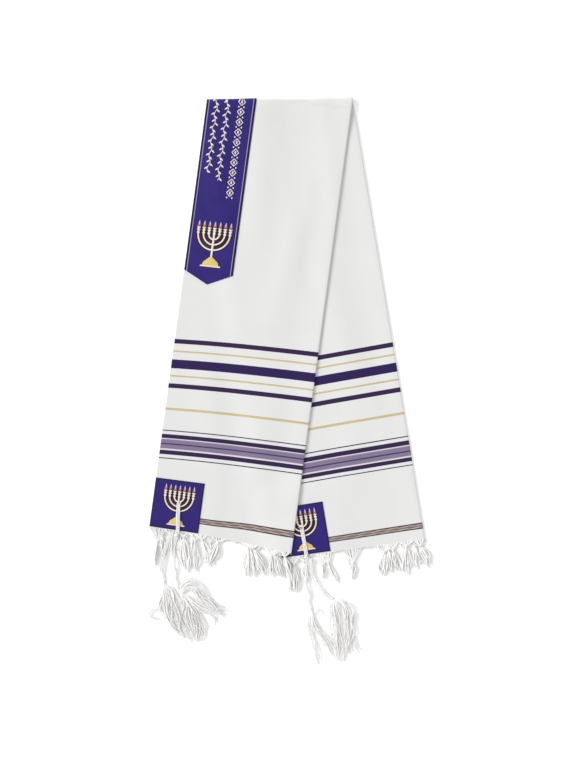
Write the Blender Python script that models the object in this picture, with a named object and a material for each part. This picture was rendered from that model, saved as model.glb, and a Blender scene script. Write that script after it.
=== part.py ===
"""A folded tallit prayer shawl. The cloth is folded in half along its length, then folded over at the
neck, so that its front end leans left over its back end. Metres, +Z up, lying on z = 0.

Flat cloth: "across" runs from the neck edge, "along" from the front hem, "out" from the cloth's inner face.
Folded strip: u runs across it from its centre line, q along it from the neck fold with the front end
positive, and rise is the height over its inner face."""

import math

import bpy
import numpy as np

# The flat cloth, without its fringe
CLOTH_WIDTH = 0.559
CLOTH_LENGTH = 1.736
WALL = 0.001
SEAM_GAP = 0.0003  # between layers, and between pieces that meet at an edge
OVER_GAP = 0.0004  # between a panel and what is sewn on it
TRIM_WALL = 0.0008  # the neckband's and the patches' satin

# The lengthwise fold, at the strip's right side
PANEL_THICKNESS = 2 * WALL + SEAM_GAP
FOLD_ARC = math.pi * (WALL + SEAM_GAP) / 2
FLAT_WIDTH = (CLOTH_WIDTH - FOLD_ARC) / 2
STRIP_WIDTH = FLAT_WIDTH + PANEL_THICKNESS / 2

# The neck fold, which crosses the strip at a slant
FRONT_LENGTH = 0.8555
BACK_LENGTH = CLOTH_LENGTH - FRONT_LENGTH
LEAN = math.radians(8.5)
TURN = math.radians(0.8)
NECK_RADIUS = 0.0015
NECK_ARC = math.pi * NECK_RADIUS / 2
NECK_CLOSE = 0.08  # from the neck fold to where its layers have closed up

# How far the weft slants down at the right, by its distance from the hem
SKEW_AT = (0.0, 0.03, 0.16, 0.38, 0.86)
FRONT_SKEW = np.radians((1.0, 0.2, -0.9, -2.0, 0.0))
BACK_SKEW = np.radians((1.6, 0.4, 0.0, -0.8, 0.0))
# The front's folded corner sags at the hem
SAG = 0.007
SAG_FROM = -0.04  # u where it starts
SAG_RUN = 0.18
SAG_REACH = 0.06  # along from the hem

# Trim
BAND_WIDTH = 0.095
BAND_FRONT_SIDE = 0.350  # q at the corners of its front end
BAND_FRONT_TIP = 0.373
BAND_BACK_SIDE = BAND_FRONT_SIDE + BACK_LENGTH - FRONT_LENGTH
BAND_BACK_TIP = BAND_FRONT_TIP + BACK_LENGTH - FRONT_LENGTH
PATCH_WIDTH = 0.095
PATCH_LENGTH = 0.098
PATCH_INSET = 0.003
FRINGE_LENGTH = 0.064

# What lies under a piece of trim is raised level for MARGIN around it and comes down over FADE
TRIM_LIFT = OVER_GAP + TRIM_WALL
MARGIN = 0.05
FADE = 0.05
STACK_HEIGHT = PANEL_THICKNESS + TRIM_LIFT + SEAM_GAP
# The front panel comes down to the surface past the back panel's left side
DROP_START = 0.03
DROP_RUN = 0.09

# Grid
BAND_CELLS = 4
PANEL_CELLS = 6
FOLD_CELLS = 4
NECK_CELLS = 5
CLOSE_ROWS = 5
PANEL_ROWS = 15
SHORTEST_CELL = 0.01
PATCH_CELLS = 2

# The corner cords, from each patch's hole to its loose strands, and the heights their centres run at
CORD_RADIUS = 0.0013
CORD_STEP = 0.0065  # along the tube
CORD_CLEAR = 0.0004
ON_PATCH = TRIM_LIFT + PANEL_THICKNESS + TRIM_LIFT + CORD_CLEAR + CORD_RADIUS
ON_FRINGE = TRIM_LIFT + PANEL_THICKNESS + CORD_CLEAR + CORD_RADIUS
HALF_DOWN = ON_FRINGE / 2
ON_SURFACE = 0.0015
CORD_ROUTES = {
    "tzitzit_front_upper": (
        (-0.211, -0.306, ON_PATCH),
        (-0.212, -0.333, ON_PATCH),
        (-0.213, -0.360, ON_PATCH),
        (-0.218, -0.379, ON_FRINGE),
        (-0.221, -0.395, ON_FRINGE),
        (-0.220, -0.417, ON_FRINGE),
        (-0.219, -0.430, ON_FRINGE),
        (-0.216, -0.439, HALF_DOWN),
        (-0.217, -0.449, ON_SURFACE),
        (-0.213, -0.462, ON_SURFACE),
        (-0.211, -0.473, ON_SURFACE),
    ),
    "tzitzit_front_lower": (
        (-0.225, -0.366, ON_FRINGE),
        (-0.233, -0.383, ON_FRINGE),
        (-0.239, -0.401, ON_FRINGE),
        (-0.242, -0.417, ON_FRINGE),
        (-0.244, -0.432, ON_FRINGE),
        (-0.242, -0.443, HALF_DOWN),
        (-0.239, -0.461, ON_SURFACE),
    ),
    "tzitzit_back_upper": (
        (0.027, -0.356, ON_PATCH),
        (0.032, -0.383, ON_PATCH),
        (0.035, -0.401, ON_PATCH),
        (0.037, -0.417, ON_FRINGE),
        (0.037, -0.431, ON_FRINGE),
        (0.036, -0.447, ON_FRINGE),
        (0.035, -0.463, ON_FRINGE),
        (0.038, -0.473, ON_FRINGE),
        (0.043, -0.485, HALF_DOWN),
        (0.041, -0.496, ON_SURFACE),
        (0.045, -0.512, ON_SURFACE),
    ),
    "tzitzit_back_lower": (
        (0.046, -0.412, ON_FRINGE),
        (0.047, -0.426, ON_FRINGE),
        (0.049, -0.442, ON_FRINGE),
        (0.056, -0.457, ON_FRINGE),
        (0.064, -0.468, ON_FRINGE),
        (0.074, -0.479, HALF_DOWN),
        (0.083, -0.487, ON_SURFACE),
        (0.089, -0.491, ON_SURFACE),
    ),
}

# The outlines of the heaps of loose strands, and the rings of their rounded sides: (height, inset)
TASSEL_RINGS = ((0.0, 0.002), (0.0025, 0.0), (0.008, 0.003))
TASSEL_OUTLINES = {
    "tzitzit_front_upper": (
        (-0.210, -0.479),
        (-0.202, -0.461),
        (-0.188, -0.450),
        (-0.173, -0.453),
        (-0.159, -0.473),
        (-0.148, -0.490),
        (-0.125, -0.501),
        (-0.107, -0.511),
        (-0.107, -0.523),
        (-0.125, -0.533),
        (-0.140, -0.519),
        (-0.153, -0.531),
        (-0.159, -0.551),
        (-0.170, -0.571),
        (-0.181, -0.578),
        (-0.191, -0.573),
        (-0.195, -0.548),
        (-0.203, -0.522),
        (-0.209, -0.497),
    ),
    "tzitzit_front_lower": (
        (-0.239, -0.467),
        (-0.223, -0.470),
        (-0.216, -0.493),
        (-0.210, -0.522),
        (-0.202, -0.548),
        (-0.198, -0.572),
        (-0.208, -0.559),
        (-0.219, -0.546),
        (-0.238, -0.527),
        (-0.246, -0.511),
        (-0.251, -0.493),
        (-0.248, -0.476),
    ),
    "tzitzit_back_upper": (
        (0.039, -0.518),
        (0.051, -0.519),
        (0.053, -0.536),
        (0.058, -0.555),
        (0.070, -0.572),
        (0.067, -0.586),
        (0.066, -0.606),
        (0.069, -0.623),
        (0.057, -0.626),
        (0.052, -0.600),
        (0.046, -0.577),
        (0.038, -0.559),
        (0.042, -0.546),
        (0.038, -0.528),
    ),
    "tzitzit_back_lower": (
        (0.092, -0.498),
        (0.106, -0.494),
        (0.117, -0.503),
        (0.129, -0.515),
        (0.125, -0.542),
        (0.129, -0.571),
        (0.148, -0.592),
        (0.132, -0.598),
        (0.121, -0.600),
        (0.110, -0.610),
        (0.098, -0.617),
        (0.088, -0.607),
        (0.078, -0.586),
        (0.085, -0.571),
        (0.086, -0.557),
        (0.082, -0.541),
        (0.078, -0.524),
        (0.089, -0.509),
    ),
}

COLOURS = {
    "cloth": (0.80, 0.80, 0.79, 1.0),
    "satin": (0.055, 0.028, 0.21, 1.0),
    "yarn": (0.86, 0.86, 0.84, 1.0),
}
ROUGHNESS = {"cloth": 0.85, "satin": 0.45, "yarn": 0.9}


def smooth(value):
    value = np.clip(value, 0.0, 1.0)
    return value * value * (3 - 2 * value)


def near(value, low, high):
    """1 from low to high and for MARGIN around them, 0 past FADE more."""
    outside = np.maximum(low - value, value - high)
    return 1 - smooth((outside - MARGIN) / FADE)


def slanted(u, q):
    """The strip's coordinates turned to the neck fold's: across it, and along from it."""
    return u * math.cos(LEAN) - q * math.sin(LEAN), u * math.sin(LEAN) + q * math.cos(LEAN)


def unslanted(x, y):
    return x * math.cos(LEAN) + y * math.sin(LEAN), y * math.cos(LEAN) - x * math.sin(LEAN)


def q_at(u, y):
    """Where the line at y along from the neck fold crosses the strip at u."""
    return (y - u * math.sin(LEAN)) / math.cos(LEAN)


def over_patch(side, hem):
    """1 over a corner patch, from the distances to the strip's left side and to its hem."""
    return near(side, 0, PATCH_WIDTH) * near(hem, 0, PATCH_INSET + PATCH_LENGTH)


def place(u, q, rise):
    """The folded strip's points in space."""
    x, y = slanted(u, q)
    under_u, under_q = unslanted(x, -np.abs(y))
    side = under_u + STRIP_WIDTH / 2
    on_patch = over_patch(side, BACK_LENGTH + under_q)
    on_band = near(side, 0, BAND_WIDTH) * near(-under_q, 0, BAND_BACK_TIP)
    lift = TRIM_LIFT * (1 - (1 - on_patch) * (1 - on_band))
    back_z = lift + PANEL_THICKNESS - rise
    angle = np.clip(y, -NECK_ARC, NECK_ARC) / NECK_RADIUS
    neck_z = lift + PANEL_THICKNESS + NECK_RADIUS + (NECK_RADIUS + rise) * np.sin(angle)
    closed = smooth((y - NECK_ARC) / NECK_CLOSE)
    open_height = lift + PANEL_THICKNESS + 2 * NECK_RADIUS
    height = open_height * (1 - closed) + (STACK_HEIGHT + TRIM_LIFT * on_patch) * closed
    on_back = 1 - smooth((-side - DROP_START) / DROP_RUN)
    own_lift = TRIM_LIFT * over_patch(u + STRIP_WIDTH / 2, FRONT_LENGTH - q)
    front_z = height * on_back + own_lift * (1 - on_back) + rise
    z = np.where(y > NECK_ARC, front_z, np.where(y < -NECK_ARC, back_z, neck_z))
    neck_y = (NECK_RADIUS + rise) * np.cos(angle)
    out_y = np.where(np.abs(y) > NECK_ARC, NECK_ARC - np.abs(y), neck_y)
    return np.stack([x, out_y, z], axis=-1)


def folded(across, out):
    """u and rise on the strip, from the flat cloth's coordinates."""
    turn = np.clip((across - FLAT_WIDTH) / FOLD_ARC, 0, 1) * math.pi
    radius = SEAM_GAP / 2 + out
    flat = np.clip(np.minimum(across, CLOTH_WIDTH - across), 0, FLAT_WIDTH)
    u = flat + radius * np.sin(turn) - STRIP_WIDTH / 2
    return u, PANEL_THICKNESS / 2 + radius * np.cos(turn)


def q_on_cloth(u, along):
    """The strip's q from the flat cloth's along, with the weft's skew."""
    front = along < FRONT_LENGTH
    hem = np.where(front, along, CLOTH_LENGTH - along)
    skew = np.where(front, np.interp(hem, SKEW_AT, FRONT_SKEW), -np.interp(hem, SKEW_AT, BACK_SKEW))
    sag = front * SAG * smooth((u - SAG_FROM) / SAG_RUN) * (1 - smooth(hem / SAG_REACH))
    return FRONT_LENGTH - along + u * np.tan(skew) + sag


def cloth_point(across, along, out):
    u, rise = folded(across, out)
    return place(u, q_on_cloth(u, along), rise)


def row_point(across, y, out):
    """A cloth point by its distance along from the neck fold."""
    u, rise = folded(across, out)
    return place(u, q_at(u, y), rise)


def cloth_columns():
    """across at each grid line: the neckband's width, the rest of layer 1, the fold, then layer 2."""
    band = np.linspace(0, BAND_WIDTH, BAND_CELLS + 1)
    rest = np.linspace(BAND_WIDTH, FLAT_WIDTH, PANEL_CELLS + 1)
    layer = np.concatenate([band, rest[1:]])
    fold = FLAT_WIDTH + FOLD_ARC * np.linspace(0, 1, FOLD_CELLS + 1)[1:-1]
    return np.concatenate([layer, fold, CLOTH_WIDTH - layer[::-1]])


def hem_y(across, along):
    """Where the hem meets each column, measured along from the neck fold."""
    u = folded(across, WALL / 2)[0]
    return slanted(u, q_on_cloth(u, np.full_like(u, along)))[1]


def panel_rows(across, start, along):
    """y of each row, from a line parallel to the neck fold to the hem."""
    near_neck = np.linspace(0, NECK_CLOSE, CLOSE_ROWS + 1)
    hem = hem_y(across, along)
    sign = np.sign(start)
    close = start + sign * np.repeat(near_neck[:, None], len(across), axis=1)
    rest = np.linspace(close[-1], hem, PANEL_ROWS + 1)
    return np.concatenate([close, rest[1:]])


def neck_rows(across):
    """y of each row round the neck fold, from the front to the back."""
    turn = NECK_ARC * np.linspace(1, -1, NECK_CELLS + 1)
    return np.repeat(turn[:, None], len(across), axis=1)


def shell(inner, outer):
    """Vertices and faces of the closed wall between two grids of points."""
    rows, columns = inner.shape[:2]
    count = rows * columns
    index = np.arange(count).reshape(rows, columns)
    sheet = [index[:-1, :-1], index[1:, :-1], index[1:, 1:], index[:-1, 1:]]
    quads = np.stack(sheet, axis=-1).reshape(-1, 4)
    rim = np.concatenate([index[0, :-1], index[:-1, -1], index[-1, :0:-1], index[:0:-1, 0]])
    after = np.roll(rim, -1)
    side = np.stack([rim, after, after + count, rim + count], axis=-1)
    faces = np.concatenate([quads[:, ::-1], quads + count, side[:, ::-1]])
    points = np.concatenate([inner.reshape(-1, 3), outer.reshape(-1, 3)])
    return points, faces


def signed_volume(points, faces):
    first = points[faces[:, 0]]
    halves = [(1, 2), (2, 3)]
    crossed = sum(np.cross(points[faces[:, i]], points[faces[:, j]]) for i, j in halves)
    return float(np.sum(first * crossed))


def material_named(name):
    material = bpy.data.materials.get(name)
    if material:
        return material
    material = bpy.data.materials.new(name)
    material.use_nodes = True
    shader = material.node_tree.nodes["Principled BSDF"]
    shader.inputs["Base Color"].default_value = COLOURS[name]
    shader.inputs["Roughness"].default_value = ROUGHNESS[name]
    return material


def add_object(name, data, material):
    data.materials.append(material_named(material))
    made = bpy.data.objects.new(name, data)
    bpy.context.scene.collection.objects.link(made)
    return made


def add_shell(name, inner, outer, material):
    points, faces = shell(inner, outer)
    if signed_volume(points, faces) < 0:
        faces = faces[:, ::-1]
    mesh = bpy.data.meshes.new(name)
    mesh.from_pydata(points.tolist(), [], faces.tolist())
    mesh.shade_smooth()
    mesh.set_sharp_from_angle(angle=math.radians(40))
    return add_object(name, mesh, material)


def wall(across, rows, low, high):
    """The inner and outer grids of a wall on the cloth, between two heights out from its inner face."""
    across = np.broadcast_to(across, rows.shape)
    return row_point(across, rows, low), row_point(across, rows, high)


def add_shawl_front():
    across = cloth_columns()
    front = panel_rows(across, NECK_ARC, 0.0)
    rows = np.concatenate([front[:0:-1], neck_rows(across)])
    return add_shell("shawl_front", *wall(across, rows, 0.0, WALL), "cloth")


def add_shawl_back():
    across = cloth_columns()
    rows = panel_rows(across, -NECK_ARC - SEAM_GAP, CLOTH_LENGTH)
    return add_shell("shawl_back", *wall(across, rows, 0.0, WALL), "cloth")


def add_neckband():
    across = cloth_columns()[: BAND_CELLS + 1]
    u = folded(across, WALL)[0]
    from_middle = np.abs(across - BAND_WIDTH / 2) / (BAND_WIDTH / 2)
    ends = []
    for start, along, side, tip in (
        (NECK_ARC, 0.0, BAND_FRONT_SIDE, BAND_FRONT_TIP),
        (-NECK_ARC, CLOTH_LENGTH, -BAND_BACK_SIDE, -BAND_BACK_TIP),
    ):
        rows = panel_rows(across, start, along)[1:]
        inside = (np.abs(q_at(u, rows)) < abs(side) - SHORTEST_CELL).all(axis=1)
        end = slanted(u, tip + (side - tip) * from_middle)[1]
        ends.append(np.concatenate([rows[inside], end[None, :]]))
    rows = np.concatenate([ends[0][::-1], neck_rows(across), ends[1]])
    low = WALL + OVER_GAP
    return add_shell("neckband", *wall(across, rows, low, low + TRIM_WALL), "satin")


def add_patch(name, left, low_along):
    across = left + np.linspace(0, PATCH_WIDTH, PATCH_CELLS + 1)
    along = low_along + np.linspace(0, PATCH_LENGTH, PATCH_CELLS + 1)
    grid = np.meshgrid(across, along)
    low = WALL + OVER_GAP
    return add_shell(name, cloth_point(*grid, low), cloth_point(*grid, low + TRIM_WALL), "satin")


def add_patches():
    far = CLOTH_WIDTH - PATCH_WIDTH
    back = CLOTH_LENGTH - PATCH_INSET - PATCH_LENGTH
    return [
        add_patch("patch_front_upper", 0.0, PATCH_INSET),
        add_patch("patch_front_lower", far, PATCH_INSET),
        add_patch("patch_back_upper", far, back),
        add_patch("patch_back_lower", 0.0, back),
    ]


def add_fringe(name, start, end):
    """One plain solid of the fringe's reach, as thick as both layers."""
    layer = cloth_columns()[: BAND_CELLS + PANEL_CELLS + 1]
    side = np.append(layer, STRIP_WIDTH)
    u = side - STRIP_WIDTH / 2
    grid_u, grid_along = np.meshgrid(u, np.linspace(start, end, 3))
    q = q_on_cloth(grid_u, grid_along)
    return add_shell(name, place(grid_u, q, 0.0), place(grid_u, q, PANEL_THICKNESS), "yarn")


def add_fringes():
    return [
        add_fringe("fringe_front", -SEAM_GAP, -FRINGE_LENGTH),
        add_fringe("fringe_back", CLOTH_LENGTH + SEAM_GAP, CLOTH_LENGTH + FRINGE_LENGTH),
    ]


def smooth_route(points):
    """Points CORD_STEP apart on a smooth curve through the route's own."""
    points = np.array(points)
    ends = [2 * points[0] - points[1], 2 * points[-1] - points[-2]]
    padded = np.concatenate([ends[:1], points, ends[1:]])
    t = np.linspace(0, 1, 20, endpoint=False)[:, None]
    curve = []
    for before, start, end, after in zip(padded, padded[1:], padded[2:], padded[3:]):
        leave = (end - before) / 2
        arrive = (after - start) / 2
        bend = 3 * (end - start) - 2 * leave - arrive
        settle_in = leave + arrive - 2 * (end - start)
        curve.append(start + leave * t + bend * t**2 + settle_in * t**3)
    curve = np.concatenate(curve + [points[-1:]])
    length = np.concatenate([[0], np.cumsum(np.linalg.norm(np.diff(curve, axis=0), axis=1))])
    even = np.linspace(0, length[-1], round(length[-1] / CORD_STEP) + 1)
    return np.stack([np.interp(even, length, curve[:, axis]) for axis in range(3)], axis=-1)


def add_cord(name, route):
    points = smooth_route(route)
    curve = bpy.data.curves.new(name, "CURVE")
    curve.dimensions = "3D"
    curve.bevel_depth = CORD_RADIUS
    curve.bevel_resolution = 2
    curve.use_fill_caps = True
    spline = curve.splines.new("POLY")
    spline.points.add(len(points) - 1)
    for point, place_at in zip(spline.points, points):
        point.co = (*place_at, 1.0)
    return add_object(name, curve, "yarn")


def inset(outline, distance):
    """The outline moved inwards, along the line that halves each corner."""
    edge = np.roll(outline, -1, axis=0) - outline
    normal = np.stack([edge[:, 1], -edge[:, 0]], axis=-1)
    normal /= np.linalg.norm(normal, axis=1)[:, None]
    halving = normal + np.roll(normal, 1, axis=0)
    halving /= np.linalg.norm(halving, axis=1)[:, None]
    return outline + halving * distance


def add_tassel(name, outline):
    """The reach of a heap of strands, flat below and rounded above. The outline runs clockwise."""
    outline = np.array(outline)
    count = len(outline)
    rings = []
    for height, distance in TASSEL_RINGS:
        ring = inset(outline, distance)
        rings.append(np.column_stack([ring, np.full(count, height)]))
    points = np.concatenate(rings)
    faces = [tuple(range(count)), tuple(range(len(points) - 1, len(points) - count - 1, -1))]
    for low in range(0, len(points) - count, count):
        for i in range(count):
            after = (i + 1) % count
            faces.append((low + i, low + i + count, low + after + count, low + after))
    mesh = bpy.data.meshes.new(name)
    mesh.from_pydata(points.tolist(), [], faces)
    mesh.shade_smooth()
    mesh.set_sharp_from_angle(angle=math.radians(40))
    return add_object(name, mesh, "yarn")


def settle(pieces):
    """Turns the pieces about Z, then puts the middle of their box over the origin, lying on z = 0."""
    cos, sin = math.cos(TURN), math.sin(TURN)
    turn = np.array([[cos, -sin, 0], [sin, cos, 0], [0, 0, 1]])
    turned = []
    for piece in pieces:
        flat = np.empty(len(piece.data.vertices) * 3, np.float32)
        piece.data.vertices.foreach_get("co", flat)
        turned.append(flat.reshape(-1, 3).astype(float) @ turn.T)
    every = np.concatenate(turned)
    low, high = every.min(axis=0), every.max(axis=0)
    middle = np.array([(low[0] + high[0]) / 2, (low[1] + high[1]) / 2, low[2]])
    for piece, points in zip(pieces, turned):
        piece.data.vertices.foreach_set("co", (points - middle).ravel())
        piece.data.update()


def main():
    for old in list(bpy.data.objects):
        bpy.data.objects.remove(old)
    pieces = [add_shawl_front(), add_shawl_back(), add_neckband()]
    pieces += add_patches()
    pieces += add_fringes()
    settle(pieces)
    for name, route in CORD_ROUTES.items():
        add_cord(name + "_cord", route)
    for name, outline in TASSEL_OUTLINES.items():
        add_tassel(name + "_tassel", outline)


main()
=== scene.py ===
"""The looks of a folded tallit prayer shawl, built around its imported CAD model.

Flat cloth: "across" runs from the neck edge, "along" from the front hem, "out" from the cloth's inner face.
Folded strip: u runs across it from its centre line, q along it from the neck fold with the front end
positive, and rise is the height over the panel's lowest face. Metres, +Z up, lying on z = 0. The tables of
cords, locks and tassels are in millimetres."""

import math

import bpy
import numpy as np
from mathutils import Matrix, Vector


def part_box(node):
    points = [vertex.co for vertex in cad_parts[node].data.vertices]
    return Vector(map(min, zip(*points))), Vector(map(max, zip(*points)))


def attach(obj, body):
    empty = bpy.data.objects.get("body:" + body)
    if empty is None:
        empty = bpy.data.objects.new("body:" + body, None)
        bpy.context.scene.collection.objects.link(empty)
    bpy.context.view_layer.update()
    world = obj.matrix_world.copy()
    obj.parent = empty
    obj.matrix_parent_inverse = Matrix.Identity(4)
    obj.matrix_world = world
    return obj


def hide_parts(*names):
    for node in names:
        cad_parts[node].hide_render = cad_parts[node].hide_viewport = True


# The flat cloth, without its fringe
CLOTH_WIDTH = 0.559
CLOTH_LENGTH = 1.736
WALL = 0.0007

# The lengthwise fold, at the strip's right side. Its two layers part by a soft roll there.
PANEL_THICKNESS = 0.0023
ROLL = 0.0018
ROLL_RUN = 0.05
FOLD_ARC = math.pi * (PANEL_THICKNESS + ROLL - WALL) / 2
FLAT_WIDTH = (CLOTH_WIDTH - FOLD_ARC) / 2
STRIP_WIDTH = 0.27963

# The neck fold, which crosses the strip at a slant
FRONT_LENGTH = 0.8555
BACK_LENGTH = CLOTH_LENGTH - FRONT_LENGTH
LEAN = math.radians(8.5)
TURN = math.radians(0.8)
NECK_RADIUS = 0.0015
NECK_ARC = math.pi * NECK_RADIUS / 2
NECK_CLOSE = 0.08

# How far the weft slants down at the right, by its distance from the hem
SKEW_AT = (0.0, 0.03, 0.16, 0.38, 0.86)
FRONT_SKEW = np.radians((1.0, 0.2, -0.9, -2.0, 0.0))
BACK_SKEW = np.radians((1.6, 0.4, 0.0, -0.8, 0.0))
SAG = 0.007
SAG_FROM = -0.04
SAG_RUN = 0.18
SAG_REACH = 0.06

# Trim
BAND_WIDTH = 0.095
BAND_FRONT_SIDE = 0.350
BAND_FRONT_TIP = 0.373
BAND_BACK_SIDE = BAND_FRONT_SIDE + BACK_LENGTH - FRONT_LENGTH
BAND_BACK_TIP = BAND_FRONT_TIP + BACK_LENGTH - FRONT_LENGTH
PATCH_WIDTH = 0.095
PATCH_LENGTH = 0.098
PATCH_INSET = 0.003
TRIM_GAP = 0.0003
TRIM_WALL = 0.0007
TRIM_OUT = WALL + TRIM_GAP + TRIM_WALL
TRIM_FACES = (WALL + TRIM_GAP, TRIM_OUT)
TRIM_LIFT = 0.0012
MARGIN = 0.02
FADE = 0.04
LAYER_GAP = 0.0003
DROP_RUN = 0.06
PRESSED = 0.2  # what is left of a depth below the surface

# The cloth's grid
CELL = 0.006
HEM_WAVER = (-0.0009, 0.0006)
FOLD_CELLS = 10
NECK_CELLS = 10
BAND_CELL = 0.003

# Broad waves in how thick the two layers stand: (height, u and q of the middle, u and q reach, turn)
SWELLS = (
    (0.0022, -0.020, 0.160, 0.030, 0.150, 6),
    (0.0020, 0.060, 0.300, 0.028, 0.160, -8),
    (0.0018, -0.055, 0.600, 0.030, 0.120, 10),
    (0.0022, 0.050, 0.660, 0.035, 0.110, -6),
    (0.0020, 0.075, -0.140, 0.025, 0.150, 5),
    (0.0026, 0.045, -0.480, 0.030, 0.180, -5),
    (0.0020, 0.020, -0.720, 0.035, 0.090, 8),
    (0.0016, 0.090, -0.640, 0.022, 0.110, -9),
)

# Corner cords
MM = 0.001
CORD_RADIUS = 0.0013
CORD_SIDES = 12
PLY_PITCH = 0.0085
PLY_STEP = 0.0010
PLY_DEPTH = 0.16
ON_PATCH = 6.4
ON_FRINGE = 5.2
HALF_DOWN = ON_FRINGE / 2
ON_SURFACE = 1.5
IN_HEAP = 3.0
# The routes of the cords' solids, then the stretch in the heap of loose strands. Each row is a height and
# the points that lie at it.
CORD_ROUTES = {
    "front_upper": (
        (ON_PATCH, (-211, -306), (-212, -333), (-213, -360)),
        (ON_FRINGE, (-218, -379), (-221, -395), (-220, -417), (-219, -430)),
        (HALF_DOWN, (-216, -439)),
        (ON_SURFACE, (-217, -449), (-213, -462), (-211, -473)),
        (IN_HEAP, (-206, -481), (-194, -493), (-175, -513), (-161, -534), (-165, -555)),
        (ON_SURFACE, (-177, -573)),
    ),
    "front_lower": (
        (ON_FRINGE, (-225, -366), (-233, -383), (-239, -401), (-242, -417), (-244, -432)),
        (HALF_DOWN, (-242, -443)),
        (ON_SURFACE, (-239, -461)),
        (IN_HEAP, (-241, -473), (-246, -490), (-240.5, -517), (-223, -540)),
        (ON_SURFACE, (-200, -567)),
    ),
    "back_upper": (
        (ON_PATCH, (27, -356), (32, -383), (35, -401)),
        (ON_FRINGE, (37, -417), (37, -431), (36, -447), (35, -463), (38, -473)),
        (HALF_DOWN, (43, -485)),
        (ON_SURFACE, (41, -496), (45, -512)),
        (IN_HEAP, (44, -525), (41, -539), (42, -557), (50, -586)),
        (ON_SURFACE, (59, -617)),
    ),
    "back_lower": (
        (ON_FRINGE, (46, -412), (47, -426), (49, -442), (56, -457), (64, -468)),
        (HALF_DOWN, (74, -479)),
        (ON_SURFACE, (83, -487), (89, -491)),
        (IN_HEAP, (98, -501), (107, -519), (110, -555), (111.5, -590)),
        (ON_SURFACE, (108, -609)),
    ),
}

# Locks of loose strands, each between two edges: (how many strands, height, one edge, the other edge)
LOCKS = {
    "front_upper": (
        (14, 7, ((-211, -473), (-203, -493), (-204, -523), (-196, -549), (-187, -575)),
         ((-207, -477), (-186, -501), (-170, -529), (-160, -553), (-168, -575))),
        (12, 7,
         ((-209, -475), (-205, -461), (-190, -452), (-173, -456), (-158, -477), (-141, -500), (-114, -508)),
         ((-204, -481), (-192, -474), (-178, -480), (-165, -497), (-149, -508), (-134, -517), (-119, -528))),
        (8, 5, ((-206, -479), (-184, -492), (-161, -501), (-140, -512), (-118, -523)),
         ((-206, -481), (-188, -501), (-170, -512), (-152, -526), (-148, -545))),
        (8, 5, ((-200, -492), (-192, -520), (-186, -545), (-176, -560), (-160, -564)),
         ((-198, -490), (-176, -512), (-163, -530), (-158, -545), (-176, -556))),
    ),
    "front_lower": (
        (12, 7, ((-239, -463), (-246, -485), (-247, -513), (-230, -538), (-206, -565)),
         ((-238, -467), (-222, -477), (-213, -509), (-203, -541), (-186, -571))),
        (2, 2, ((-246, -493), (-256, -505), (-270, -523), (-268, -531), (-247, -527)),
         ((-244, -496), (-254, -509), (-266, -523), (-262, -527), (-244, -524))),
        (9, 6, ((-237, -465), (-220, -468), (-208, -487), (-200, -513), (-196, -545)),
         ((-238, -469), (-230, -491), (-228, -517), (-214, -545), (-194, -567))),
    ),
    "back_upper": (
        (4, 3, ((45, -515), (39, -534), (40, -555), (48, -583), (56, -615)),
         ((46, -515), (45, -538), (49, -559), (57, -585), (65, -617))),
        (9, 5, ((46, -513), (50, -545), (62, -565), (77, -588), (90, -608)),
         ((46, -513), (55, -539), (74, -561), (91, -583), (104, -606))),
        (1, 1, ((45.8, -518.5), (61.2, -514.7), (76.7, -523.4)),
         ((45.8, -518.5), (61.2, -514.7), (76.7, -523.4))),
    ),
    "back_lower": (
        (11, 7, ((89, -492), (78, -518), (83, -553), (87, -582), (93, -612)),
         ((91, -492), (102, -521), (106, -555), (110, -587), (108, -613))),
        (11, 7, ((91, -492), (105, -503), (110, -533), (114, -565), (112, -602)),
         ((92, -490), (116, -496), (126, -520), (124, -560), (130, -590))),
        (3, 3, ((92, -491), (104, -493), (118, -517), (124, -559), (145, -590)),
         ((92, -492), (102, -496), (112, -521), (119, -563), (136, -596))),
    ),
}
STRAND_RADIUS = 0.0013
LOCK_SWAY = (0.0015, 0.0042)
# Knots along the corner cords: (how far along, size)
KNOTS = {
    "front_upper": ((62, 4.4), (166, 3.8)),
    "front_lower": ((96, 3.6),),
    "back_upper": ((52, 4.4), (98, 4), (158, 3.6)),
    "back_lower": ((4, 5.2), (45, 4), (92, 3.6)),
}
KNOT_TURNS = 3.2
KNOT_GIRTH = 0.34
KNOT_LIFT = 0.0006
# Strands that lie beside a corner cord: (share of its length, gap between middles in cord widths)
COMPANIONS = dict.fromkeys(CORD_ROUTES, ((0.62, 0.96), (0.34, -0.96)))
COMPANIONS["back_lower"] = ((0.50, -1.60), (0.16, -0.90))

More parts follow.
